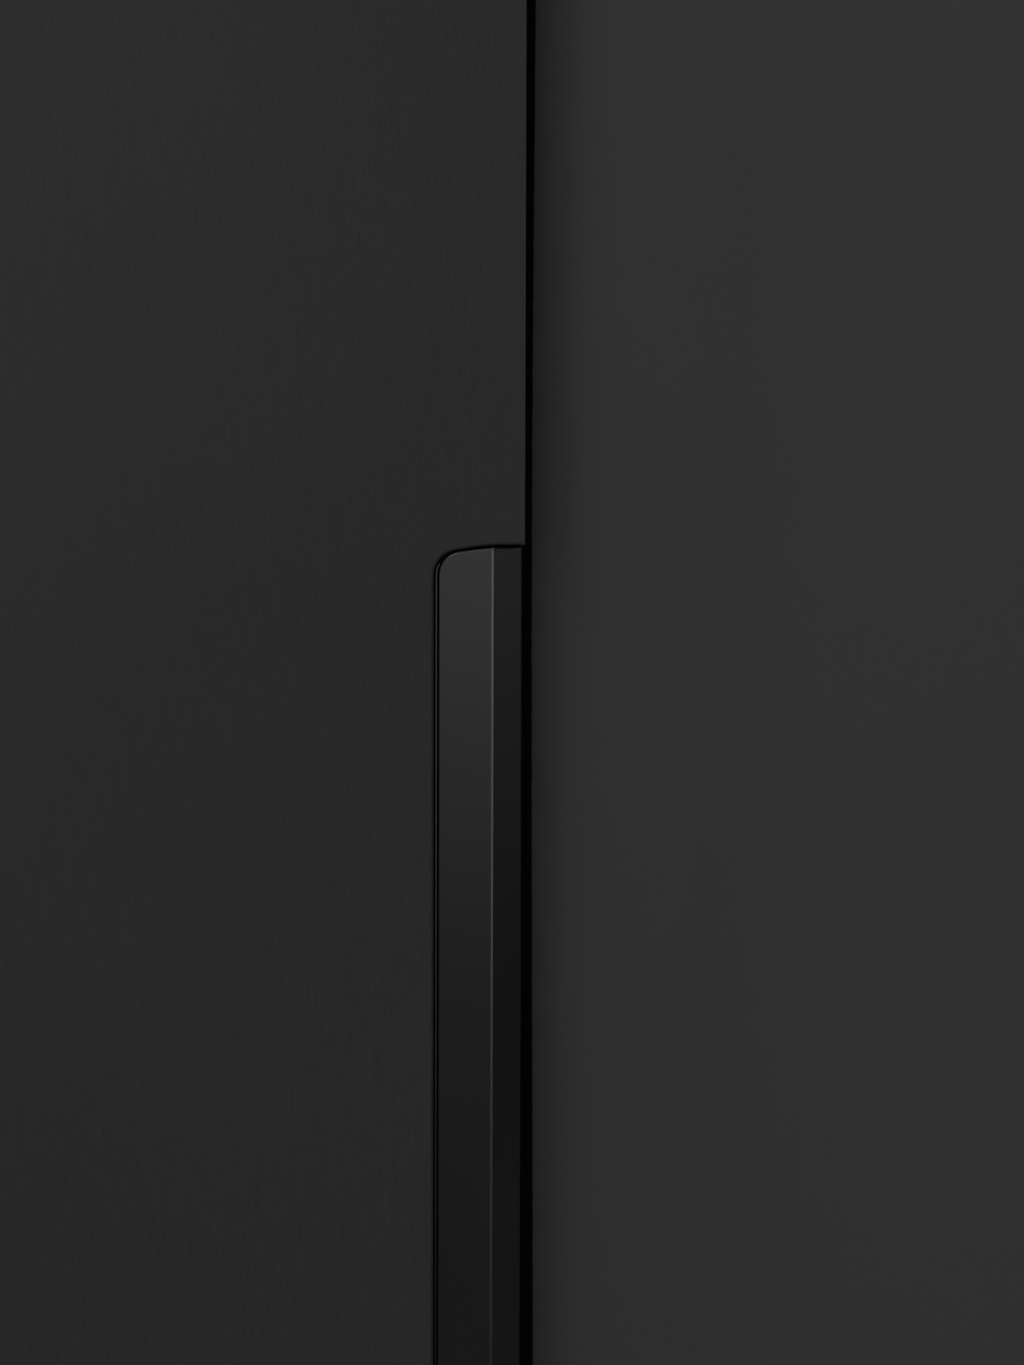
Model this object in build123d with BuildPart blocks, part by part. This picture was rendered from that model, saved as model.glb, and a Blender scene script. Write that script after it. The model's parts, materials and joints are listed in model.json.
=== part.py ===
from build123d import *
from math import asin, degrees
import os

os.makedirs("parts", exist_ok=True)

# Two-leaf sliding wardrobe, in millimetres: +X to the right, the front faces -Y, +Z up, floor at Z = 0.
# The left leaf runs in front of the right one, and each leaf has an inset grip in its right-hand edge.

# Overall size, from the grip's ridge to the rear edges of the carcass
width = 1500.0
depth = 640.0
height = 2100.0

# Boards
board = 18.0
cap = 22.0
back_sheet = 3.0
edge_band = 1.0
plinth_height = 62.0
plinth_setback = 50.0
foot_lift = 8.0

# Leaves
leaf = 22.0
leaf_overlap = 40.0
leaf_spacing = 6.0
leaf_to_carcass = 4.0
leaf_over_track = 6.0
leaf_under_track = 3.0

# Inset grip
grip_width = 33.2
grip_length = 600.0
grip_bottom = 700.0
grip_corner = 9.0
grip_crown = 140.0
ridge_from_edge = 11.8
ridge_proud = 1.8
ridge_flat = 0.85
facet_sink = 1.0
facet_round = 0.95
lip_sink = 3.5
lip_setback = 1.5
lip = 2.2
rim_wall = 0.36
rim_groove = 0.36
rim_sink = 0.7
rim_groove_sink = 8.0
rim_short = 6.5
pocket_depth = 17.5
pocket_gap = 0.65
pocket_round = 1.2
groove_floor = 1.6
groove_reach = 15.0
groove_end = 14.0
grip_screw_pitch = 200.0

# Tracks, rollers and guides
track_web = 2.0
track_leg = 18.0
bead_width = 3.0
bead_height = 3.5
bead_round = 1.2
track_edge = 4.0
wheel_radius = 14.0
wheel_groove = 2.0
wheel_width = 8.0
wheel_groove_width = 4.0
wheel_chamfer = 0.5
wheel_room = 1.0
axle_radius = 2.5
housing_length = 60.0
housing_width = 16.0
housing_height = 32.0
roller_inset = 90.0
guide_length = 50.0
guide_base = 2.0
guide_rise = 14.0
guide_side_gap = 2.0
guide_bore = 4.0
fin = 6.0
stop_length = 20.0
handle_stays_clear = 20.0

# Brush seals between the leaves
seal_width = 9.0
seal_reach = 2.9
right_seal_inset = 6.0

# Inside
groove = 8.0
rear_rail_height = 100.0
hat_shelf_height = 1750.0
shoe_shelf_height = 330.0
shelf_heights = [400.0, 720.0, 1040.0, 1360.0, 1750.0]
shelf_front_setback = 12.0
shelf_side_gap = 1.0
pin_radius = 2.5
pin_length = 16.0
pin_in_board = 8.5
pin_from_edge = 45.0
rail_radius = 12.5
rail_wall = 1.5
rail_drop = 60.0
socket_radius = 17.0
socket_thickness = 10.0
strip_width = 40.0

# Fittings
cam_radius = 7.5
cam_depth = 12.8
cam_reach = 34.0
cam_inset = 70.0
bolt_radius = 3.5
bolt_in_cap = 11.0
dowel_radius = 4.0
dowel_length = 30.0
wall_hole_radius = 4.0
wall_hole_inset = 150.0
stem_radius = 4.0
pad_radius = 17.0
pad_height = 12.0
pad_chamfer = 3.0
pad_round = 1.0
stem_gap = 10.0
block_side = 40.0

# Screws
screw_radius = 1.75
back_screw_length = 30.0
back_screw_first = 80.0
back_screw_pitch = 290.0
back_screw_count = 6
track_screw_length = 16.0
housing_screw_bite = 18.0
guide_screw_length = 20.0
hardware_screw_inset = 7.0
grip_screw_radius = 2.0
grip_screw_length = 14.0
socket_screw_radius = 1.6
socket_screw_length = 11.0
socket_screw_inset = 6.0

# Clearances
fit = 0.05
loose = 0.3

# Places along Y, front to back
y_ridge = -depth / 2
y_front = y_ridge + ridge_proud
y_front_back = y_front + leaf
y_second = y_front_back + leaf_spacing
y_carcass = y_second + leaf + leaf_to_carcass
y_rear = depth / 2
y_sheet_back = y_rear - board
y_sheet = y_sheet_back - back_sheet
y_shelf = y_carcass + shelf_front_setback

# Places along X
x_side = width / 2
x_inner = x_side - board

# Places along Z
z_panel = foot_lift + plinth_height
z_inside = z_panel + cap
z_ceiling = height - cap
z_bead = z_inside + track_web + bead_height
z_leaf = z_inside + track_web + leaf_over_track
z_leaf_top = z_ceiling - track_leg - leaf_under_track
z_axle = z_bead + wheel_radius - wheel_groove + fit
grip_top = grip_bottom + grip_length
travel = (x_side - grip_width) - (leaf_overlap / 2 + seal_reach) - handle_stays_clear

# Each leaf: name, X of its left and right edges, Y of its face and which way it opens
leaves = {
    "left": (-x_side, leaf_overlap / 2, y_front, 1),
    "right": (-leaf_overlap / 2, x_side, y_second, -1),
}

TURN = {"x": (0, 90, 0), "y": (90, 0, 0), "z": (0, 0, 0)}
FROM_END = (Align.CENTER, Align.CENTER, Align.MIN)


def block(x, y, z, mode=Mode.ADD):
    """Box between two planes on each axis, in the part being built."""
    middle = tuple((low + high) / 2 for low, high in (x, y, z))
    with Locations(middle):
        Box(x[1] - x[0], y[1] - y[0], z[1] - z[0], mode=mode)


def rod(axis, low, high, across, radius, mode=Mode.ADD):
    """Round bar along an axis from low to high, at two places on the other axes."""
    middle = list(across)
    middle.insert("xyz".index(axis), (low + high) / 2)
    with Locations(tuple(middle)):
        Cylinder(radius, high - low, rotation=TURN[axis], mode=mode)


def screw(head, toward, length, radius, room=0.0, mode=Mode.ADD):
    """Countersunk screw with its flat at head, or with room its hole."""
    with Locations(Plane(origin=head, z_dir=toward)):
        Cylinder(radius + room, length + room, align=FROM_END, mode=mode)
        Cone(2 * radius + room, radius + room, radius, align=FROM_END, mode=mode)


def finish(builder, name):
    """Names a finished sub-part and writes it."""
    builder.part.label = name
    export_step(builder.part, f"parts/{name}.step")


# Knock-down fittings: cams and bolts near the front and the rear of each upright, a dowel between
uprights = [-(x_side - board / 2), 0.0, x_side - board / 2]
y_cams = [y_carcass + cam_inset, y_sheet - cam_inset]
y_dowel = sum(y_cams) / 2
ends = [(z_inside, 1), (z_ceiling, -1)]


def cam_bodies(x, room=0.0, mode=Mode.ADD):
    """Cam discs of one upright, let in from its inner face, or from the left on the partition."""
    inward = -1 if x >= 0 else 1
    mouth = x + inward * board / 2
    bottom = mouth - inward * (cam_depth + room)
    for y in y_cams:
        for z, up in ends:
            low, high = sorted((mouth, bottom))
            rod("x", low, high, (y, z + up * cam_reach), cam_radius + room, mode)


def cam_bolt_bodies(x, room=0.0, mode=Mode.ADD):
    """Bolts of one upright, from the cap's bore to just short of the cam."""
    for y in y_cams:
        for z, up in ends:
            stop = z + up * (cam_reach - cam_radius - loose)
            low, high = sorted((z - up * (bolt_in_cap + room), stop))
            rod("z", low, high, (x, y), bolt_radius + room, mode)


def upright_dowels(x, room=0.0, mode=Mode.ADD):
    """One dowel at each end of an upright, half in it and half in the cap."""
    for z, up in ends:
        low, high = sorted((z - up * (bolt_in_cap + room), z + up * (dowel_length - bolt_in_cap + room)))
        rod("z", low, high, (x, y_dowel), dowel_radius + room, mode)


rails_z = [(z_inside, z_inside + rear_rail_height), (z_ceiling - rear_rail_height, z_ceiling)]


def rail_dowels(side, room=0.0, mode=Mode.ADD):
    """Two dowels between a side panel and each rear rail."""
    inner_end = x_inner - dowel_length + bolt_in_cap - room
    low, high = sorted((side * (x_inner + bolt_in_cap + room), side * inner_end))
    for bottom, top in rails_z:
        for z in (bottom + rear_rail_height / 4, top - rear_rail_height / 4):
            rod("x", low, high, (y_rear - board / 2, z), dowel_radius + room, mode)


def upright_cuts(x):
    """Bores for the fittings in one upright."""
    cam_bodies(x, fit, Mode.SUBTRACT)
    cam_bolt_bodies(x, fit, Mode.SUBTRACT)
    upright_dowels(x, fit, Mode.SUBTRACT)


# Shelf pins: four under each loose shelf of the right-hand side, four under the two left-hand shelves
pin_ys = [y_shelf + pin_from_edge, y_sheet - pin_from_edge]
left_shelves = [shoe_shelf_height, hat_shelf_height]


def pins_at(face, inward, heights, room=0.0, mode=Mode.ADD):
    """Shelf pins let into a board's face, with the shelf lying on their bare ends."""
    low, high = sorted((face - inward * (pin_in_board + room), face + inward * (pin_length - pin_in_board)))
    for z in heights:
        for y in pin_ys:
            rod("x", low, high, (y, z - pin_radius), pin_radius + room, mode)


# Clothes rail and its sockets under the hat shelf
rail_z = hat_shelf_height - rail_drop
rail_y = (y_carcass + y_sheet) / 2
socket_faces = [(-x_inner, 1), (-board / 2, -1)]


def socket_screws(face, inward, room=0.0, mode=Mode.ADD):
    """Two screws through each rail socket, inside the socket's rim."""
    for rise in (-1, 1):
        head = (face + inward * rail_wall, rail_y, rail_z + rise * (rail_radius - socket_screw_inset))
        screw(head, (-inward, 0, 0), socket_screw_length, socket_screw_radius, room, mode)


# Places of the screws through the back joint and through the tracks
back_screw_start = z_inside + rear_rail_height + back_screw_first
back_screw_zs = [back_screw_start + back_screw_pitch * step for step in range(back_screw_count)]
track_ys = (y_front + track_edge, y_second + leaf - track_edge)
track_y = sum(track_ys) / 2
track_screw_xs = [-0.45 * width, -0.15 * width, 0.15 * width, 0.45 * width]


def back_joint_screws(room=0.0, mode=Mode.ADD):
    """Screws through the joint strip and the back sheets into the partition."""
    for z in back_screw_zs:
        screw((0, y_sheet_back + back_sheet, z), (0, -1, 0), back_screw_length, screw_radius, room, mode)


def track_screws(mating, into, room=0.0, mode=Mode.ADD):
    """Screws through one track into its cap: mating is the cap's face and into the way to the cap, in Z."""
    for x in track_screw_xs:
        head = (x, track_y, mating - into * track_web)
        screw(head, (0, 0, into), track_screw_length, screw_radius, room, mode)


# Side panels
for side, name in ((-1, "side_panel_left"), (1, "side_panel_right")):
    with BuildPart() as side_panel:
        block(sorted((side * x_inner, side * x_side)), (y_carcass, y_rear), (z_inside, z_ceiling))
        block(
            sorted((side * x_inner, side * (x_inner + groove))),
            (y_sheet - fit, y_sheet_back + fit),
            (z_inside, z_ceiling),
            Mode.SUBTRACT,
        )
        upright_cuts(side * (x_side - board / 2))
        rail_dowels(side, fit, Mode.SUBTRACT)
        pins_at(side * x_inner, -side, left_shelves if side < 0 else shelf_heights, fit, Mode.SUBTRACT)
        if side < 0:
            socket_screws(-x_inner, 1, fit, Mode.SUBTRACT)
    finish(side_panel, name)

# Centre partition
with BuildPart() as centre_partition:
    block((-board / 2, board / 2), (y_carcass, y_sheet), (z_inside, z_ceiling))
    upright_cuts(0.0)
    pins_at(-board / 2, -1, left_shelves, fit, Mode.SUBTRACT)
    pins_at(board / 2, 1, shelf_heights, fit, Mode.SUBTRACT)
    socket_screws(-board / 2, -1, fit, Mode.SUBTRACT)
    back_joint_screws(fit, Mode.SUBTRACT)
finish(centre_partition, "centre_partition")

# Top and bottom panels, which reach forward over and under the leaves
for name, z_low, mating in (("bottom_panel", z_panel, z_inside), ("top_panel", z_ceiling, z_ceiling)):
    with BuildPart() as cap_panel:
        block((-x_side, x_side), (y_front, y_rear), (z_low, z_low + cap))
        chamfer(cap_panel.faces().sort_by(Axis.Y)[0].edges().filter_by(Axis.X), edge_band / 2)
        inward = 1 if mating == z_inside else -1
        low, high = sorted((mating, mating - inward * groove))
        half = x_inner + groove
        block((-half, half), (y_sheet - fit, y_sheet_back + fit), (low, high), Mode.SUBTRACT)
        for x in uprights:
            cam_bolt_bodies(x, fit, Mode.SUBTRACT)
            upright_dowels(x, fit, Mode.SUBTRACT)
        track_screws(mating, -inward, fit, Mode.SUBTRACT)
    finish(cap_panel, name)

with BuildPart() as cam_locks:
    for x in uprights:
        cam_bodies(x)
finish(cam_locks, "cam_locks")

with BuildPart() as cam_bolts:
    for x in uprights:
        cam_bolt_bodies(x)
finish(cam_bolts, "cam_bolts")

with BuildPart() as dowels:
    for x in uprights:
        upright_dowels(x)
    for side in (-1, 1):
        rail_dowels(side)
finish(dowels, "dowels")

# Rear rails behind the back sheets; the upper one takes the wall screws
wall_screw_z = z_ceiling - rear_rail_height / 2
for name, (bottom, top) in zip(("wall_rail_lower", "wall_rail_upper"), rails_z):
    with BuildPart() as wall_rail:
        block((-x_inner, x_inner), (y_sheet_back, y_rear), (bottom, top))
        for side in (-1, 1):
            rail_dowels(side, fit, Mode.SUBTRACT)
            if name == "wall_rail_upper":
                spot = (side * (x_side - wall_hole_inset), wall_screw_z)
                rod("y", y_sheet_back, y_rear, spot, wall_hole_radius, Mode.SUBTRACT)
    finish(wall_rail, name)

# Back sheets, which meet behind the partition
for side, name in ((-1, "back_panel_left"), (1, "back_panel_right")):
    with BuildPart() as back_panel:
        block(
            sorted((side * loose, side * (x_inner + groove - loose))),
            (y_sheet, y_sheet_back),
            (z_inside - groove + loose, z_ceiling + groove - loose),
        )
        rod("y", y_sheet, y_sheet_back, (side * (x_side - wall_hole_inset), wall_screw_z),
            wall_hole_radius, Mode.SUBTRACT)
        for z in back_screw_zs:
            rod("y", y_sheet, y_sheet_back, (0, z), screw_radius + fit, Mode.SUBTRACT)
    finish(back_panel, name)

with BuildPart() as back_joint_strip:
    block(
        (-strip_width / 2, strip_width / 2),
        (y_sheet_back, y_sheet_back + back_sheet),
        (z_inside + rear_rail_height + loose, z_ceiling - rear_rail_height - loose),
    )
    back_joint_screws(fit, Mode.SUBTRACT)
finish(back_joint_strip, "back_joint_strip")

with BuildPart() as back_screws:
    back_joint_screws()
finish(back_screws, "back_screws")

# Plinth frame under the bottom panel
y_plinth = y_front + plinth_setback
plinth_z = (foot_lift, z_panel)
for name, low in (("plinth_front", y_plinth), ("plinth_rear", y_rear - board)):
    with BuildPart() as plinth_rail:
        block((-x_inner, x_inner), (low, low + board), plinth_z)
    finish(plinth_rail, name)

with BuildPart() as plinth_sides:
    for side in (-1, 1):
        block(sorted((side * x_inner, side * x_side)), (y_plinth, y_rear), plinth_z)
finish(plinth_sides, "plinth_sides")

# Levelling feet in blocks glued into the plinth's corners
foot_xs = [side * (x_inner - block_side / 2) for side in (-1, 1)]
foot_ys = [y_plinth + board + block_side / 2, y_rear - board - block_side / 2]
foot_spots = [(x, y) for x in foot_xs for y in foot_ys]
stem_bottom = pad_height / 2
stem_top = z_panel - stem_gap

with BuildPart() as corner_blocks:
    for x, y in foot_spots:
        half = block_side / 2
        block((x - half, x + half), (y - half, y + half), (pad_height + loose, z_panel))
        rod("z", pad_height, stem_top + loose, (x, y), stem_radius + fit, Mode.SUBTRACT)
finish(corner_blocks, "corner_blocks")

with BuildPart() as foot_pads:
    for x, y in foot_spots:
        rod("z", 0, pad_height, (x, y), pad_radius)
    chamfer(foot_pads.edges().filter_by(GeomType.CIRCLE).group_by(Axis.Z)[-1], pad_chamfer)
    fillet(foot_pads.edges().filter_by(GeomType.CIRCLE).group_by(Axis.Z)[0], pad_round)
    for x, y in foot_spots:
        rod("z", stem_bottom, pad_height, (x, y), stem_radius + fit, Mode.SUBTRACT)
finish(foot_pads, "foot_pads")

with BuildPart() as foot_stems:
    for x, y in foot_spots:
        rod("z", stem_bottom, stem_top, (x, y), stem_radius)
finish(foot_stems, "foot_stems")

# Shelves: each lies on its pins between the uprights
left_bay = (-x_inner + shelf_side_gap, -board / 2 - shelf_side_gap)
right_bay = (board / 2 + shelf_side_gap, x_inner - shelf_side_gap)
shelf_y = (y_shelf, y_sheet - loose)
for name, z in (("shoe_shelf", shoe_shelf_height), ("hat_shelf", hat_shelf_height)):
    with BuildPart() as left_shelf:
        block(left_bay, shelf_y, (z, z + board))
        fillet(left_shelf.faces().sort_by(Axis.Y)[0].edges().filter_by(Axis.X), edge_band)
    finish(left_shelf, name)

with BuildPart() as shelves_right:
    for z in shelf_heights:
        block(right_bay, shelf_y, (z, z + board))
    fillet(shelves_right.edges().filter_by(Axis.X).group_by(Axis.Y)[0], edge_band)
finish(shelves_right, "shelves_right")

with BuildPart() as shelf_pins:
    pins_at(-x_inner, 1, left_shelves)
    pins_at(-board / 2, -1, left_shelves)
    pins_at(board / 2, 1, shelf_heights)
    pins_at(x_inner, -1, shelf_heights)
finish(shelf_pins, "shelf_pins")

# Clothes rail: a tube held in two cups
with BuildPart() as clothes_rail:
    low, high = -x_inner + rail_wall + loose, -board / 2 - rail_wall - loose
    rod("x", low, high, (rail_y, rail_z), rail_radius)
    rod("x", low, high, (rail_y, rail_z), rail_radius - rail_wall, Mode.SUBTRACT)
finish(clothes_rail, "clothes_rail")

with BuildPart() as rail_sockets:
    for face, inward in socket_faces:
        low, high = sorted((face, face + inward * socket_thickness))
        rod("x", low, high, (rail_y, rail_z), socket_radius)
        low, high = sorted((face + inward * rail_wall, face + inward * socket_thickness))
        rod("x", low, high, (rail_y, rail_z), rail_radius + fit, Mode.SUBTRACT)
        socket_screws(face, inward, fit, Mode.SUBTRACT)
finish(rail_sockets, "rail_sockets")

with BuildPart() as rail_socket_screws:
    for face, inward in socket_faces:
        socket_screws(face, inward)
finish(rail_socket_screws, "rail_socket_screws")

# Bottom track: a flat web with one bead under each leaf
with BuildPart() as bottom_track:
    block((-x_side, x_side), track_ys, (z_inside, z_inside + track_web))
    for x0, x1, y_face, opens in leaves.values():
        middle = y_face + leaf / 2
        block((-x_side, x_side), (middle - bead_width / 2, middle + bead_width / 2), (z_inside, z_bead))
    fillet(bottom_track.edges().filter_by(Axis.X).group_by(Axis.Z)[-1], bead_round)
    track_screws(z_inside, -1, fit, Mode.SUBTRACT)
finish(bottom_track, "bottom_track")

# Top track: a web with two legs round each leaf's guide fin
with BuildPart() as top_track:
    block((-x_side, x_side), track_ys, (z_ceiling - track_web, z_ceiling))
    for x0, x1, y_face, opens in leaves.values():
        for side in (-1, 1):
            face = y_face + leaf / 2 + side * (fin / 2 + loose)
            leg = sorted((face, face + side * track_web))
            block((-x_side, x_side), leg, (z_ceiling - track_leg, z_ceiling))
    track_screws(z_ceiling, 1, fit, Mode.SUBTRACT)
finish(top_track, "top_track")

with BuildPart() as bottom_track_screws:
    track_screws(z_inside, -1)
finish(bottom_track_screws, "bottom_track_screws")

with BuildPart() as top_track_screws:
    track_screws(z_ceiling, 1)
finish(top_track_screws, "top_track_screws")

# Stops in the top track's channels, one at each end of each leaf's travel
guide_half = guide_length / 2
with BuildPart() as track_stops:
    for x0, x1, y_face, opens in leaves.values():
        shut = x0 if opens > 0 else x1
        lead = x1 if opens > 0 else x0
        shut_face = shut + opens * (roller_inset - guide_half - loose)
        open_face = lead - opens * (roller_inset - guide_half - loose) + opens * travel
        for face, away in ((shut_face, -opens), (open_face, opens)):
            block(
                sorted((face, face + away * stop_length)),
                (y_face + leaf / 2 - fin / 2 - loose, y_face + leaf / 2 + fin / 2 + loose),
                (z_ceiling - track_leg + track_web, z_ceiling - track_web),
            )
finish(track_stops, "track_stops")


def grip_outline(edge, inset=0.0, grow=0.0):
    """Face of the grip's outline, its left side moved inwards or all of it grown."""
    centre = edge - lip_setback
    left = edge - grip_width + inset - grow
    crown = grip_crown + grow
    sweep = degrees(asin((centre - left) / crown))
    with BuildLine() as outline:
        upper = CenterArc((centre, grip_top - grip_crown), crown, 90, sweep)
        lower = CenterArc((centre, grip_bottom + grip_crown), crown, 270, -sweep)
        Line(upper @ 1, lower @ 1)
        if grow:
            upper_end = Line(upper @ 0, (edge, grip_top + grow))
            lower_end = Line(lower @ 0, (edge, grip_bottom - grow))
            Line(upper_end @ 1, lower_end @ 1)
        else:
            Line(upper @ 0, lower @ 0)
    make_face(outline.edges())


z_guide = z_leaf_top + guide_base
grip_screw_zs = [grip_bottom + grip_length / 2 + grip_screw_pitch * step for step in (-1, 0, 1)]


def grip_screws_at(x, y, room=0.0, mode=Mode.ADD):
    """Screws from a leaf's back into its grip."""
    for z in grip_screw_zs:
        screw((x, y, z), (0, -1, 0), grip_screw_length, grip_screw_radius, room, mode)


def guide_screws_at(xs, y, room=0.0, mode=Mode.ADD):
    """Screws down through the guides into a leaf's upper edge."""
    for x in xs:
        screw((x, y, z_guide), (0, 0, -1), guide_screw_length, screw_radius, room, mode)


for name, (x0, x1, y_face, opens) in leaves.items():
    y_middle = y_face + leaf / 2
    y_leaf_back = y_face + leaf
    y_pocket = y_face + pocket_depth
    roller_xs = [x0 + roller_inset, x1 - roller_inset]
    grip_screw_x = x1 - (grip_width + groove_reach + lip_setback) / 2
    house_reach = housing_length / 2 - hardware_screw_inset
    guide_reach = guide_half - hardware_screw_inset
    house_screw_xs = [x + side * house_reach for x in roller_xs for side in (-1, 1)]
    guide_screw_xs = [x + side * guide_reach for x in roller_xs for side in (-1, 1)]
    z_house = z_leaf + housing_height
    house_screw_length = housing_height + housing_screw_bite

    # Leaf, with the grip's pocket, the mortises for the roller housings and the screw holes
    with BuildPart() as leaf_panel:
        core_z = (z_leaf + edge_band, z_leaf_top - edge_band)
        block((x0 + edge_band, x1 - edge_band), (y_face, y_leaf_back), core_z)
        with BuildSketch(Plane.XZ.offset(-y_pocket)) as pocket_face:
            grip_outline(x1, grow=pocket_gap)
            fillet(pocket_face.vertices().group_by(Axis.X)[0], grip_corner + pocket_gap)
        extrude(amount=pocket_depth, mode=Mode.SUBTRACT)
        front = leaf_panel.faces().sort_by(Axis.Y)[0]
        mouth = front.edges().filter_by(
            lambda edge: x1 - 2 * grip_width < edge.center().X < x1 - edge_band - fit
            and grip_bottom - grip_corner < edge.center().Z < grip_top + grip_corner)
        fillet(mouth, pocket_round)
        grip_screws_at(grip_screw_x, y_leaf_back, fit, Mode.SUBTRACT)
        for x in roller_xs:
            block(
                (x - housing_length / 2 - fit, x + housing_length / 2 + fit),
                (y_middle - housing_width / 2 - fit, y_middle + housing_width / 2 + fit),
                (z_leaf, z_house + fit),
                Mode.SUBTRACT,
            )
        for x in house_screw_xs:
            bore_top = z_house + housing_screw_bite + fit
            rod("z", z_house, bore_top, (x, y_middle), screw_radius + fit, Mode.SUBTRACT)
        guide_screws_at(guide_screw_xs, y_middle, fit, Mode.SUBTRACT)
    finish(leaf_panel, f"door_{name}_panel")

    # Edge bands on the four edges; the one on the grip's edge stops above and below the grip
    with BuildPart() as bands:
        block((x0, x0 + edge_band), (y_face, y_leaf_back), (z_leaf, z_leaf_top))
        for z_low, z_high in ((z_leaf, grip_bottom - pocket_gap), (grip_top + pocket_gap, z_leaf_top)):
            block((x1 - edge_band, x1), (y_face, y_leaf_back), (z_low, z_high))
        for z_low in (z_leaf, z_leaf_top - edge_band):
            block((x0 + edge_band, x1 - edge_band), (y_face, y_leaf_back), (z_low, z_low + edge_band))
        for x in roller_xs:
            block(
                (x - housing_length / 2 - fit, x + housing_length / 2 + fit),
                (y_middle - housing_width / 2 - fit, y_middle + housing_width / 2 + fit),
                (z_leaf, z_leaf + edge_band),
                Mode.SUBTRACT,
            )
        guide_screws_at(guide_screw_xs, y_middle, fit, Mode.SUBTRACT)
    finish(bands, f"door_{name}_bands")

    # Grip: a base, a thin rim beside it, and two facets either side of a proud ridge, over a finger groove
    with BuildPart() as grip:
        with BuildSketch(Plane.XZ.offset(-y_pocket)) as front_face:
            grip_outline(x1, inset=rim_wall + rim_groove)
            fillet(front_face.vertices().group_by(Axis.X)[0], grip_corner)
        extrude(amount=pocket_depth + ridge_proud)
        with BuildSketch(Plane.XY.offset(grip_bottom)):
            with BuildLine():
                Polyline(
                    (x1 - grip_width, y_pocket),
                    (x1 - grip_width, y_face + facet_sink),
                    (x1 - ridge_from_edge - ridge_flat / 2, y_face - ridge_proud),
                    (x1 - ridge_from_edge + ridge_flat / 2, y_face - ridge_proud),
                    (x1 - lip_setback, y_face + lip_sink),
                    (x1 - lip_setback, y_pocket),
                    close=True,
                )
            make_face()
        extrude(amount=grip_length, mode=Mode.INTERSECT)
        facets = grip.faces().filter_by(lambda face: face.normal_at().Y < -0.5)
        outer = facets.edges().filter_by(lambda edge: not edge.is_interior)
        lip_edge = outer.sort_by(Axis.X)[-1]
        fillet(outer.filter_by(lambda edge: edge.center().X < lip_edge.center().X - fit), facet_round)
        with BuildSketch(Plane.XZ.offset(-y_pocket)) as base_face:
            grip_outline(x1)
            fillet(base_face.vertices().group_by(Axis.X)[0], grip_corner)
        extrude(amount=pocket_depth - rim_groove_sink)
        with BuildSketch(Plane.XZ.offset(-(y_face + rim_groove_sink))) as rim_face:
            grip_outline(x1)
            fillet(rim_face.vertices().group_by(Axis.X)[0], grip_corner)
            with BuildSketch(mode=Mode.PRIVATE) as inner:
                grip_outline(x1, inset=rim_wall)
                fillet(inner.vertices().group_by(Axis.X)[0], grip_corner)
            add(inner.sketch, mode=Mode.SUBTRACT)
            with Locations((x1 - grip_width + rim_wall, grip_bottom + grip_length / 2)):
                Rectangle(grip_corner, grip_length - 2 * rim_short, mode=Mode.INTERSECT)
        extrude(amount=rim_groove_sink - rim_sink)
        block(
            (x1 - lip_setback - groove_reach, x1),
            (y_face + lip_sink + lip, y_pocket - groove_floor),
            (grip_bottom + groove_end, grip_top - groove_end),
            Mode.SUBTRACT,
        )
        for z in grip_screw_zs:
            tip = y_leaf_back - grip_screw_length - fit
            rod("y", tip, y_pocket, (grip_screw_x, z), grip_screw_radius + fit, Mode.SUBTRACT)
    finish(grip, f"handle_{name}")

    with BuildPart() as grip_screws:
        grip_screws_at(grip_screw_x, y_leaf_back)
    finish(grip_screws, f"handle_screws_{name}")

    # Roller housings let into the leaf's lower edge, each with its axle
    with BuildPart() as housings:
        for x in roller_xs:
            block(
                (x - housing_length / 2, x + housing_length / 2),
                (y_middle - housing_width / 2, y_middle + housing_width / 2),
                (z_leaf, z_house),
            )
            block(
                (x - wheel_radius - wheel_room, x + wheel_radius + wheel_room),
                (y_middle - wheel_width / 2 - loose, y_middle + wheel_width / 2 + loose),
                (z_leaf, z_axle + wheel_radius + wheel_room),
                Mode.SUBTRACT,
            )
            rod("y", y_middle - housing_width / 2, y_middle + housing_width / 2, (x, z_axle),
                axle_radius + fit / 2, Mode.SUBTRACT)
        for x in house_screw_xs:
            screw((x, y_middle, z_leaf), (0, 0, 1), house_screw_length, screw_radius, fit, Mode.SUBTRACT)
    finish(housings, f"roller_housings_{name}")

    with BuildPart() as housing_screws:
        for x in house_screw_xs:
            screw((x, y_middle, z_leaf), (0, 0, 1), house_screw_length, screw_radius)
    finish(housing_screws, f"roller_screws_{name}")

    with BuildPart() as axles:
        for x in roller_xs:
            half = housing_width / 2
            rod("y", y_middle - half, y_middle + half, (x, z_axle), axle_radius)
    finish(axles, f"roller_axles_{name}")

    # Grooved wheels, which straddle the track's bead
    for place, x in zip(("a", "b"), roller_xs):
        with BuildPart() as wheel:
            half = wheel_width / 2
            rod("y", y_middle - half, y_middle + half, (x, z_axle), wheel_radius)
            with Locations((x, y_middle, z_axle)):
                across = TURN["y"]
                Cylinder(wheel_radius + wheel_room, wheel_groove_width, rotation=across, mode=Mode.SUBTRACT)
                Cylinder(wheel_radius - wheel_groove, wheel_groove_width, rotation=across)
                Cylinder(axle_radius + fit, wheel_width, rotation=across, mode=Mode.SUBTRACT)
            chamfer(wheel.edges().filter_by(GeomType.CIRCLE).filter_by(
                lambda edge: edge.radius > wheel_radius - wheel_groove / 2), wheel_chamfer)
        finish(wheel, f"roller_{name}_{place}")

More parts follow.
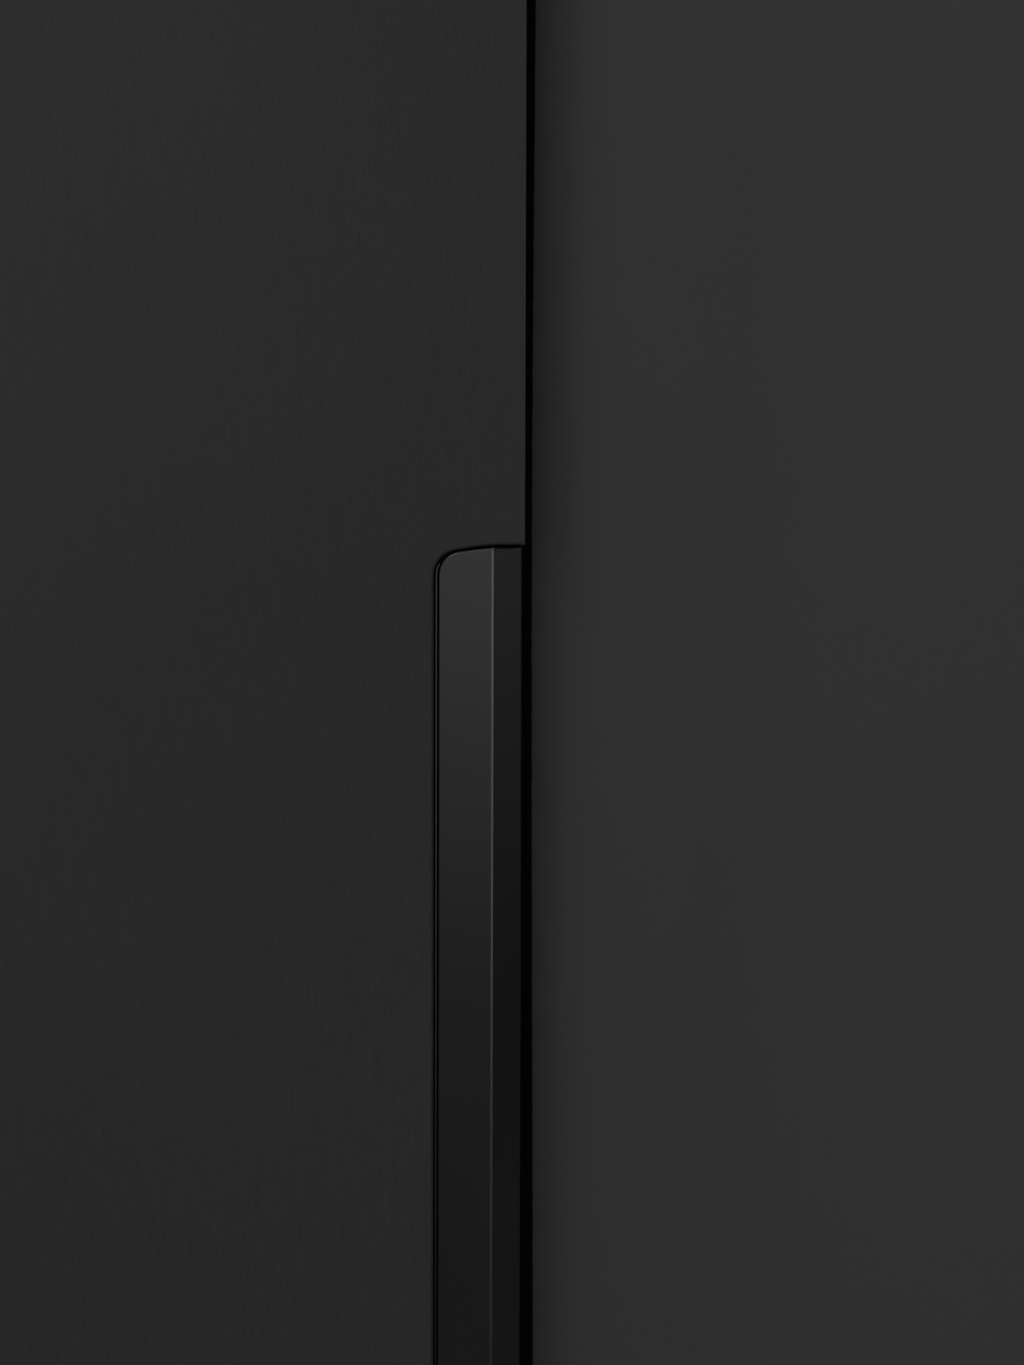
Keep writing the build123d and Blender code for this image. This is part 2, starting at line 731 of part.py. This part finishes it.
    # Guides on the leaf's upper edge, with a fin up in the track's channel
    with BuildPart() as guides:
        for x in roller_xs:
            block(
                (x - guide_half, x + guide_half),
                (y_face + guide_side_gap, y_leaf_back - guide_side_gap),
                (z_leaf_top, z_guide),
            )
            block(
                (x - guide_half, x + guide_half),
                (y_middle - fin / 2, y_middle + fin / 2),
                (z_leaf_top, z_guide + guide_rise),
            )
        guide_screws_at(guide_screw_xs, y_middle, fit, Mode.SUBTRACT)
        for x in guide_screw_xs:
            rod("z", z_guide, z_guide + guide_rise, (x, y_middle), guide_bore, Mode.SUBTRACT)
    finish(guides, f"top_guides_{name}")

    with BuildPart() as guide_screws:
        guide_screws_at(guide_screw_xs, y_middle)
    finish(guide_screws, f"guide_screws_{name}")

# Pile seals that close the space between the leaves
seal_y = (y_front_back, y_second - loose)
with BuildPart() as brush_seal_left:
    edge = leaves["left"][1]
    block((edge - seal_width + seal_reach, edge + seal_reach), seal_y, (z_leaf, z_leaf_top))
finish(brush_seal_left, "brush_seal_left")

with BuildPart() as brush_seal_right:
    edge = leaves["right"][0] + right_seal_inset
    block((edge, edge + seal_width), (y_front_back + loose, y_second), (z_leaf, z_leaf_top))
finish(brush_seal_right, "brush_seal_right")
print("travel", round(travel, 2), "axle height", round(z_axle, 2), "nodes", len(os.listdir("parts")))
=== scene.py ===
import bpy
import json
import math
import random
from mathutils import Matrix, Vector


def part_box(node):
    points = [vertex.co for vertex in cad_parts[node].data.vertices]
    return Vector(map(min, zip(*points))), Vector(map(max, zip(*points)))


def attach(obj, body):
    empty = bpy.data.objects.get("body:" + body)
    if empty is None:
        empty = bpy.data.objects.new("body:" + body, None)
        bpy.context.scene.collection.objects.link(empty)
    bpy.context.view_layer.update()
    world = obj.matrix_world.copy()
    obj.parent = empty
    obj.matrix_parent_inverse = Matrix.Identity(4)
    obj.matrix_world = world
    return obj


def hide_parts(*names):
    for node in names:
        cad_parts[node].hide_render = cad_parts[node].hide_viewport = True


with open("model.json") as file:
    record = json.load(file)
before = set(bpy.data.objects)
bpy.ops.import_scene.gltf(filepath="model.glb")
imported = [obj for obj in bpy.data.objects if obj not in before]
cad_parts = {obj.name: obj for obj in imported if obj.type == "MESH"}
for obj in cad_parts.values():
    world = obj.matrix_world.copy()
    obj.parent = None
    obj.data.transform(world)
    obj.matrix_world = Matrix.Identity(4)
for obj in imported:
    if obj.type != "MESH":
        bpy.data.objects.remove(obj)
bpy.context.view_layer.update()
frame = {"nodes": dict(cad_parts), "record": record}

MM = 0.001

# Places taken from the frame, in metres
leaf_edge_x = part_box("door_left_bands")[1].x
leaf_face_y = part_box("door_left_panel")[0].y
grip_top_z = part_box("handle_left")[1].z


# ---------------------------------------------------------------- materials

class Nodes:
    """Short names for building one material's nodes."""

    def __init__(self, name):
        self.material = bpy.data.materials.new(name)
        self.material.use_nodes = True
        self.tree = self.material.node_tree
        self.shader = self.tree.nodes["Principled BSDF"]
        self.position = self.add("ShaderNodeTexCoord").outputs["Object"]

    def add(self, kind, **settings):
        node = self.tree.nodes.new(kind)
        for key, value in settings.items():
            setattr(node, key, value)
        return node

    def link(self, source, target):
        self.tree.links.new(source, target)

    def stretched(self, scale):
        """The object's own coordinates, scaled axis by axis."""
        mapping = self.add("ShaderNodeMapping")
        mapping.inputs["Scale"].default_value = scale
        self.link(self.position, mapping.inputs["Vector"])
        return mapping.outputs["Vector"]

    def noise(self, vector, scale, detail=2.0, rough=0.5):
        """Noise with about scale features to the metre."""
        node = self.add("ShaderNodeTexNoise")
        node.inputs["Scale"].default_value = scale
        node.inputs["Detail"].default_value = detail
        node.inputs["Roughness"].default_value = rough
        self.link(vector, node.inputs["Vector"])
        return node.outputs["Fac"]

    def ranged(self, value, low, high, start=0.3, end=0.7):
        """A value carried from start..end to low..high; noise mostly fills the default span."""
        node = self.add("ShaderNodeMapRange")
        node.inputs["From Min"].default_value = start
        node.inputs["From Max"].default_value = end
        node.inputs["To Min"].default_value = low
        node.inputs["To Max"].default_value = high
        self.link(value, node.inputs["Value"])
        return node.outputs["Result"]

    def mixed(self, factor, dark, light):
        """Colour between two, by a factor."""
        node = self.add("ShaderNodeMix", data_type="RGBA")
        node.inputs["A"].default_value = (*dark, 1)
        node.inputs["B"].default_value = (*light, 1)
        self.link(factor, node.inputs["Factor"])
        return node.outputs["Result"]

    def blended(self, first, second, factor):
        """Value between two, by a fixed share of the second."""
        node = self.add("ShaderNodeMix", data_type="FLOAT")
        node.inputs["Factor"].default_value = factor
        self.link(first, node.inputs["A"])
        self.link(second, node.inputs["B"])
        return node.outputs["Result"]

    def math(self, operation, *values):
        """Math node whose values are floats or sockets."""
        node = self.add("ShaderNodeMath", operation=operation)
        for socket, value in zip(node.inputs, values):
            if isinstance(value, float):
                socket.default_value = value
            else:
                self.link(value, socket)
        return node.outputs["Value"]

    def openness(self, reach):
        """How open the surface is within reach: 1 on a free face, near 0 in a narrow groove."""
        node = self.add("ShaderNodeAmbientOcclusion", samples=8)
        node.inputs["Distance"].default_value = reach
        return node.outputs["AO"]

    def bumped(self, height, distance):
        """Relief of a given depth, in metres, on the shader's normal."""
        node = self.add("ShaderNodeBump")
        node.inputs["Strength"].default_value = 1.0
        node.inputs["Distance"].default_value = distance
        self.link(height, node.inputs["Height"])
        self.link(node.outputs["Normal"], self.shader.inputs["Normal"])

    def coloured(self, factor, dark, light):
        """Base colour between two greys, by a factor."""
        self.link(self.mixed(factor, grey(dark), grey(light)), self.shader.inputs["Base Color"])

    def roughened(self, factor, middle, swing):
        """Roughness that swings about its middle with a factor."""
        rough = self.ranged(factor, middle - swing, middle + swing)
        self.link(rough, self.shader.inputs["Roughness"])

    def set(self, **values):
        for key, value in values.items():
            self.shader.inputs[key.replace("_", " ")].default_value = value


def grey(value):
    """A grey with a trace of blue."""
    return (value, value, value * 1.01)


def laminate(name, tone, contrast, pore, bump, rough=0.62, specular=0.35):
    """Matte laminate with a short vertical grain: fine pores, a slow cloud and uneven gloss."""
    m = Nodes(name)
    pores = m.noise(m.stretched((1, 1, 0.32)), scale=pore, detail=3.0, rough=0.6)
    streaks = m.noise(m.stretched((1, 1, 0.12)), scale=pore / 2)
    cloud = m.noise(m.position, scale=4.0)
    grain = m.blended(pores, streaks, factor=0.35)
    grain_and_cloud = m.blended(grain, cloud, factor=0.25)
    m.coloured(m.ranged(grain_and_cloud, 0, 1), tone * (1 - contrast), tone * (1 + contrast))
    m.roughened(grain, rough, swing=0.06)
    m.bumped(grain, bump)
    m.set(Specular_IOR_Level=specular)
    return m.material


def powder_coat(name, tone, rough, ridges):
    """Satin coat: orange peel and patches, with painted shade that dulls its specular in narrow
    grooves and a painted highlight strip that raises it along the ridges.
    """
    full_gloss = 0.42
    ridge_painted_highlight = 0.35
    ridge_half = 0.5 * MM
    m = Nodes(name)
    peel = m.noise(m.position, scale=900.0)
    patches = m.noise(m.position, scale=14.0, detail=3.0)
    m.coloured(m.ranged(patches, 0, 1), tone * 0.94, tone * 1.06)
    m.roughened(patches, rough, swing=0.015)
    m.bumped(peel, 0.004 * MM)
    # Painted shade: the specular level drops towards nothing where ambient occlusion finds the
    # surface closed in, as in narrow grooves.
    gloss = m.ranged(m.openness(3.0 * MM), 0.0, full_gloss, start=0.15, end=0.45)
    across = m.add("ShaderNodeSeparateXYZ")
    m.link(m.position, across.inputs["Vector"])
    # Painted highlight: the specular level is raised in a thin strip along each ridge.
    for x in ridges:
        painted_highlight_strip = m.math("COMPARE", across.outputs["X"], x, ridge_half)
        gloss = m.math("MULTIPLY_ADD", painted_highlight_strip, ridge_painted_highlight, gloss)
    m.link(gloss, m.shader.inputs["Specular IOR Level"])
    return m.material


def metal(name, tone, rough, brush):
    """Bare metal with drawing lines along one axis and small stains."""
    m = Nodes(name)
    lines = m.noise(m.stretched(brush), scale=300.0, detail=3.0)
    stains = m.noise(m.position, scale=30.0, detail=3.0)
    m.coloured(m.ranged(stains, 0, 1), tone * 0.85, tone * 1.1)
    m.roughened(lines, rough, swing=0.08)
    m.bumped(lines, 0.01 * MM)
    m.set(Metallic=1.0)
    return m.material


def moulded(name, tone, rough):
    """Moulded plastic: spark-eroded texture and a slow gloss change."""
    m = Nodes(name)
    texture = m.noise(m.position, scale=1400.0)
    slow = m.noise(m.position, scale=25.0)
    m.coloured(m.ranged(slow, 0, 1), tone * 0.9, tone * 1.12)
    m.roughened(slow, rough, swing=0.05)
    m.bumped(texture, 0.02 * MM)
    return m.material


def beech(name):
    """Raw beech with its grain drawn out along Y."""
    brown, pale = (0.42, 0.27, 0.15), (0.62, 0.44, 0.27)
    m = Nodes(name)
    grain = m.noise(m.stretched((1, 0.15, 1)), scale=220.0, detail=4.0)
    m.link(m.mixed(m.ranged(grain, 0, 1), brown, pale), m.shader.inputs["Base Color"])
    m.roughened(grain, 0.6, swing=0.1)
    m.bumped(grain, 0.08 * MM)
    return m.material


def pile_fabric(name):
    """Black pile: each fibre's tone and gloss differ a little."""
    m = Nodes(name)
    fibres = m.noise(m.stretched((0.3, 0.3, 1)), scale=2500.0)
    m.coloured(m.ranged(fibres, 0, 1), 0.0008, 0.004)
    m.roughened(fibres, 0.9, swing=0.1)
    m.bumped(fibres, 0.1 * MM)
    m.set(Specular_IOR_Level=0.05)
    return m.material


def ridge_x(node):
    """Middle of a grip's proud ridge, in its own coordinates."""
    points = [vertex.co for vertex in frame["nodes"][node].data.vertices]
    front = min(point.y for point in points)
    hair = 0.01 * MM
    ridge = [point.x for point in points if point.y < front + hair]
    return (min(ridge) + max(ridge)) / 2


grip_ridges = [ridge_x("handle_left"), ridge_x("handle_right")]
looks = {
    "leaf_grained": laminate("leaf_grained", 0.0195, contrast=0.45, pore=1500.0, bump=0.12 * MM),
    "leaf_smooth": laminate(
        "leaf_smooth", 0.0460, contrast=0.03, pore=500.0, bump=0.02 * MM, rough=0.60),
    "grip": powder_coat("grip", 0.0022, rough=0.30, ridges=grip_ridges),
    "carcass_board": laminate(
        "carcass_board", 0.030, contrast=0.15, pore=700.0, bump=0.08 * MM, rough=0.60),
    "back_board": laminate(
        "back_board", 0.034, contrast=0.12, pore=300.0, bump=0.10 * MM, rough=0.70, specular=0.30),
    "raw_wood": beech("raw_wood"),
    "track": metal("track", 0.09, rough=0.42, brush=(0.02, 1, 1)),
    "zinc": metal("zinc", 0.55, rough=0.35, brush=(1, 1, 0.1)),
    "rail_chrome": metal("rail_chrome", 0.62, rough=0.22, brush=(0.03, 1, 1)),
    "pile": pile_fabric("pile"),
    "nylon": moulded("nylon", 0.03, rough=0.42),
    "foot_plastic": moulded("foot_plastic", 0.022, rough=0.5),
}

for part in frame["record"]["subparts"]:
    shell = frame["nodes"][part["node"]]
    shell.data.materials.clear()
    shell.data.materials.append(looks[part["material_slot"]])


# ---------------------------------------------------------------- pile seals

def pile_seal(name, node, body, tip_side):
    """Pile on a woven backing: rows of fibres with ragged tips, combed out in waves up its height."""
    low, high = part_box(node)
    draw = random.Random(node)
    row_pitch = 0.42 * MM
    rows = int((high.z - low.z) / row_pitch)
    tip_x, root_x = (high.x, low.x) if tip_side > 0 else (low.x, high.x)
    span = tip_x - root_x
    fringe = 0.45 * MM * tip_side
    raggedness = 0.8
    drift_kept, drift_step = 0.9, 0.1
    backing = 0.9 * MM
    tip_front, tip_back = 0.25 * MM * tip_side, 0.4 * MM * tip_side
    deepest_dent = 0.35 * MM
    combed = 1.5 * MM
    combed_every = 0.8
    backing_x = root_x + span * 0.6
    pile_x = root_x + span * 0.62
    shoulder_x = root_x + span * 0.55
    middle_y = (low.y + high.y) / 2
    vertices, faces = [], []
    ring = 8
    drift = 0.0
    for row in range(rows + 1):
        z = low.z + (high.z - low.z) * row / rows
        drift = drift_kept * drift + draw.uniform(-drift_step, drift_step) * fringe
        short = draw.random() * fringe * raggedness - abs(drift)
        splay = combed * (1 - math.cos(2 * math.pi * (z - grip_top_z) / combed_every)) / 2
        tip = tip_x + (splay - abs(short)) * tip_side
        dent = draw.uniform(0.0, deepest_dent)
        vertices += [
            (root_x, low.y, z),
            (backing_x, low.y, z),
            (pile_x, low.y + backing, z),
            (tip - tip_front, low.y + backing + dent, z),
            (tip, middle_y + dent, z),
            (tip - tip_back, high.y - dent, z),
            (shoulder_x, high.y, z),
            (root_x, high.y - backing, z),
        ]
    for row in range(rows):
        start = row * ring
        for k in range(ring):
            after = (k + 1) % ring
            faces.append((start + k, start + after, start + ring + after, start + ring + k))
    faces.append(tuple(range(ring - 1, -1, -1)))
    faces.append(tuple(range(rows * ring, rows * ring + ring)))
    mesh = bpy.data.meshes.new(name)
    mesh.from_pydata(vertices, [], faces)
    mesh.validate()
    mesh.materials.append(looks["pile"])
    seal = bpy.data.objects.new(name, mesh)
    bpy.context.scene.collection.objects.link(seal)
    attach(seal, body)
    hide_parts(node)


pile_seal("pile_left", "brush_seal_left", "door_left", 1)
pile_seal("pile_right", "brush_seal_right", "door_right", -1)


# ---------------------------------------------------------------- studio

def area_light(name, place, aim, width, height, power):
    """Rectangular softbox at place, pointing at aim, with its height upright."""
    data = bpy.data.lights.new(name, "AREA")
    data.shape = "RECTANGLE"
    data.size = width
    data.size_y = height
    data.energy = power
    lamp = bpy.data.objects.new(name, data)
    lamp.location = place
    lamp.rotation_mode = "QUATERNION"
    lamp.rotation_quaternion = (Vector(aim) - Vector(place)).to_track_quat("-Z", "Y")
    lamp.visible_camera = False
    bpy.context.scene.collection.objects.link(lamp)


def studio_floor():
    """A pale floor with a faint mottle."""
    half = 6.0
    mesh = bpy.data.meshes.new("floor")
    corners = [(-half, -half, 0), (half, -half, 0), (half, half, 0), (-half, half, 0)]
    mesh.from_pydata(corners, [], [(0, 1, 2, 3)])
    floor = bpy.data.objects.new("floor", mesh)
    bpy.context.scene.collection.objects.link(floor)
    m = Nodes("floor")
    mottle = m.noise(m.position, scale=3.0, detail=4.0)
    m.coloured(m.ranged(mottle, 0, 1), 0.60, 0.64)
    m.roughened(mottle, 0.675, swing=0.075)
    mesh.materials.append(m.material)


studio_floor()

world = bpy.data.worlds.new("studio")
bpy.context.scene.world = world
world.use_nodes = True
background = world.node_tree.nodes["Background"]
background.inputs["Color"].default_value = (1, 1, 1, 1)
background.inputs["Strength"].default_value = 0.01

# Softboxes in the front plane: each spans two angles from straight ahead of the left leaf's edge
box_distance = 2.6
box_y = leaf_face_y - box_distance


def front_box(name, start, end, z_low, z_high, power):
    """Upright softbox in the front plane, between two angles in degrees, positive to the right."""
    x0, x1 = (leaf_edge_x + box_distance * math.tan(math.radians(angle)) for angle in (start, end))
    middle = ((x0 + x1) / 2, box_y, (z_low + z_high) / 2)
    area_light(name, middle, (middle[0], leaf_face_y, middle[2]), x1 - x0, z_high - z_low, power)


front_box("key_left", start=-36, end=-7, z_low=1.0, z_high=3.0, power=15.2)
front_box("key_middle", start=-4, end=4, z_low=0.75, z_high=1.5, power=3.3)
front_box("wide_right", start=40, end=62, z_low=0.9, z_high=3.0, power=16.5)

# Two lights above the grip for the gleam along its upper edge and corner
grip_aim = (leaf_edge_x, leaf_face_y, grip_top_z)
over_reach = 2.2
over_lift = math.radians(75)
over_y = leaf_face_y - over_reach * math.cos(over_lift)
over_z = grip_top_z + over_reach * math.sin(over_lift)
area_light("over_75", (leaf_edge_x, over_y, over_z), grip_aim, width=1.6, height=0.5, power=8)
corner_place = (leaf_edge_x - 1.3, leaf_face_y - 1.55, grip_top_z + 1.5)
corner_aim = (leaf_edge_x - 0.02, leaf_face_y, grip_top_z)
area_light("corner", corner_place, corner_aim, width=0.7, height=0.7, power=9)

# Fill for the sides, the back and the top
body_middle = (0, 0, 1.0)
area_light("rear", (1.6, 3.2, 2.2), body_middle, width=2.4, height=2.0, power=60)
area_light("ceiling", (0, 1.6, 4.4), (0, 0.9, 0), width=4.0, height=2.4, power=12)
area_light("left", (-3.4, -0.6, 2.0), body_middle, width=1.6, height=2.2, power=76)
area_light("right", (3.4, 0.2, 2.0), body_middle, width=1.6, height=2.2, power=20)


# ---------------------------------------------------------------- camera

view_distance = 1.42
pitch = math.radians(5.4)
roll = math.radians(0.167)
aim_left_of_edge = 4.65 * MM
aim_below_grip_top = 51 * MM
aim_point = Vector((leaf_edge_x - aim_left_of_edge, leaf_face_y, grip_top_z - aim_below_grip_top))
camera_data = bpy.data.cameras.new("camera")
camera_data.sensor_fit = "AUTO"
camera_data.sensor_width = 36.0
camera_data.lens = 100.0
camera = bpy.data.objects.new("camera", camera_data)
bpy.context.scene.collection.objects.link(camera)
back = Vector((0, -math.cos(pitch), math.sin(pitch)))
camera.rotation_mode = "QUATERNION"
camera.location = aim_point + back * view_distance
camera.rotation_quaternion = (-back).to_track_quat("-Z", "Y")
camera.rotation_quaternion @= Matrix.Rotation(roll, 3, "Z").to_quaternion()
bpy.context.scene.camera = camera

bpy.context.scene.view_settings.view_transform = "Standard"
